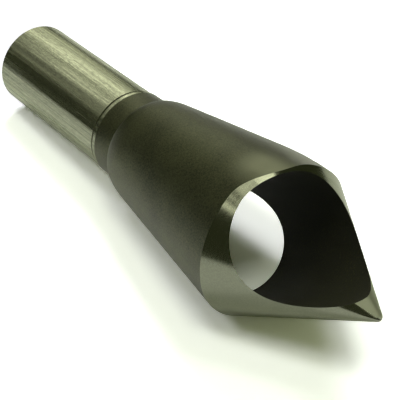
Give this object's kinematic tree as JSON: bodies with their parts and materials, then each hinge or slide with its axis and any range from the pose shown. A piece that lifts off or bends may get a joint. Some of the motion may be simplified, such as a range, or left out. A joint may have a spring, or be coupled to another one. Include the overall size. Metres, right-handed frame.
{
  "type": "countersink",
  "caption": "Cross-hole countersink with a plain round shank, a flared body and a conical point, for chamfering and deburring holes.",
  "frame": {"origin": "middle of the shank's flat end, on the surface the tool stands on", "axes": "+Z along the tool's axis from the shank's end to the point; the mouth of the cross hole faces -Y"},
  "size_m": [0.0144, 0.0145, 0.0493],
  "materials": {
    "tool_steel": "ground bright on shank and cone, dull dark oxide on collar and body"
  },
  "bodies": {
    "root": {"countersink": "tool_steel"}
  },
  "joints": []
}
